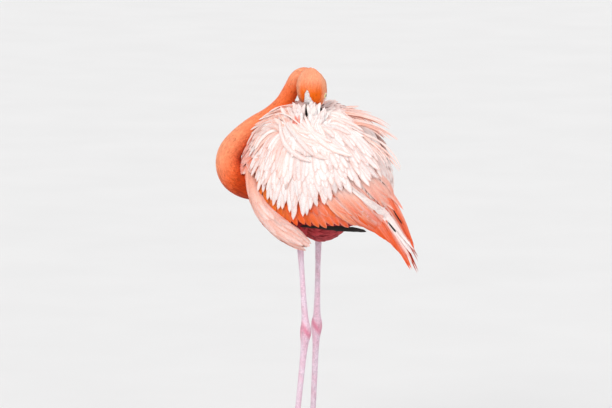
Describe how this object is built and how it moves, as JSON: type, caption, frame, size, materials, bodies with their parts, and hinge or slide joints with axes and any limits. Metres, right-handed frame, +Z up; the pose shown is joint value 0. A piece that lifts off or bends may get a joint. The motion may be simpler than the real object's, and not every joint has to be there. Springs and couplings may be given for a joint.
{
  "type": "flamingo",
  "caption": "Life-size American flamingo standing on long legs and preening its back feathers, on a flat wooden display base.",
  "frame": {"origin": "on the underside of the display base, below the bird's back", "axes": "+Z up; the bird's breast faces -X, its tail +X, its left side -Y"},
  "size_m": [0.39, 0.27, 0.8422],
  "materials": {
    "base_wood": "satin-varnished dark wood",
    "body_plumage": "flesh under deep rose plumage",
    "neck_plumage": "flesh under short vivid orange plumage",
    "pale_feathers": "soft, matt, near-white pink feathers",
    "orange_feathers": "soft, matt, bright orange feathers",
    "black_feathers": "satin black flight feathers",
    "leg_skin": "scaly lilac-pink skin, satin",
    "bill_horn": "ivory horn with a black tip, satin",
    "claw_horn": "dark horn, satin",
    "eye": "glossy pale yellow glass eye"
  },
  "bodies": {
    "root": {"stand_base": "base_wood", "trunk": "body_plumage", "thigh_left": "body_plumage", "thigh_right": "body_plumage", "neck_base": "neck_plumage", "neck_lower": "neck_plumage", "neck_middle": "neck_plumage", "neck_upper": "neck_plumage", "head": "neck_plumage", "bill_upper": "bill_horn", "bill_lower": "bill_horn", "mantle": "pale_feathers", "scapulars_left": "pale_feathers", "scapulars_right": "pale_feathers", "flank_left": "pale_feathers", "flank_right": "pale_feathers", "tail": "orange_feathers", "wing_left": "orange_feathers", "wing_right": "orange_feathers", "tertials_left": "orange_feathers", "tertials_right": "orange_feathers", "remiges_left": "black_feathers", "remiges_right": "black_feathers", "shank_left": "leg_skin", "shank_right": "leg_skin", "ankle_left": "leg_skin", "ankle_right": "leg_skin", "tarsus_left": "leg_skin", "tarsus_right": "leg_skin", "foot_left": "leg_skin", "foot_right": "leg_skin", "eye_left": "eye", "eye_right": "eye", "claw_inner_left": "claw_horn", "claw_middle_left": "claw_horn", "claw_outer_left": "claw_horn", "claw_hind_left": "claw_horn", "claw_inner_right": "claw_horn", "claw_middle_right": "claw_horn", "claw_outer_right": "claw_horn", "claw_hind_right": "claw_horn"}
  },
  "joints": []
}
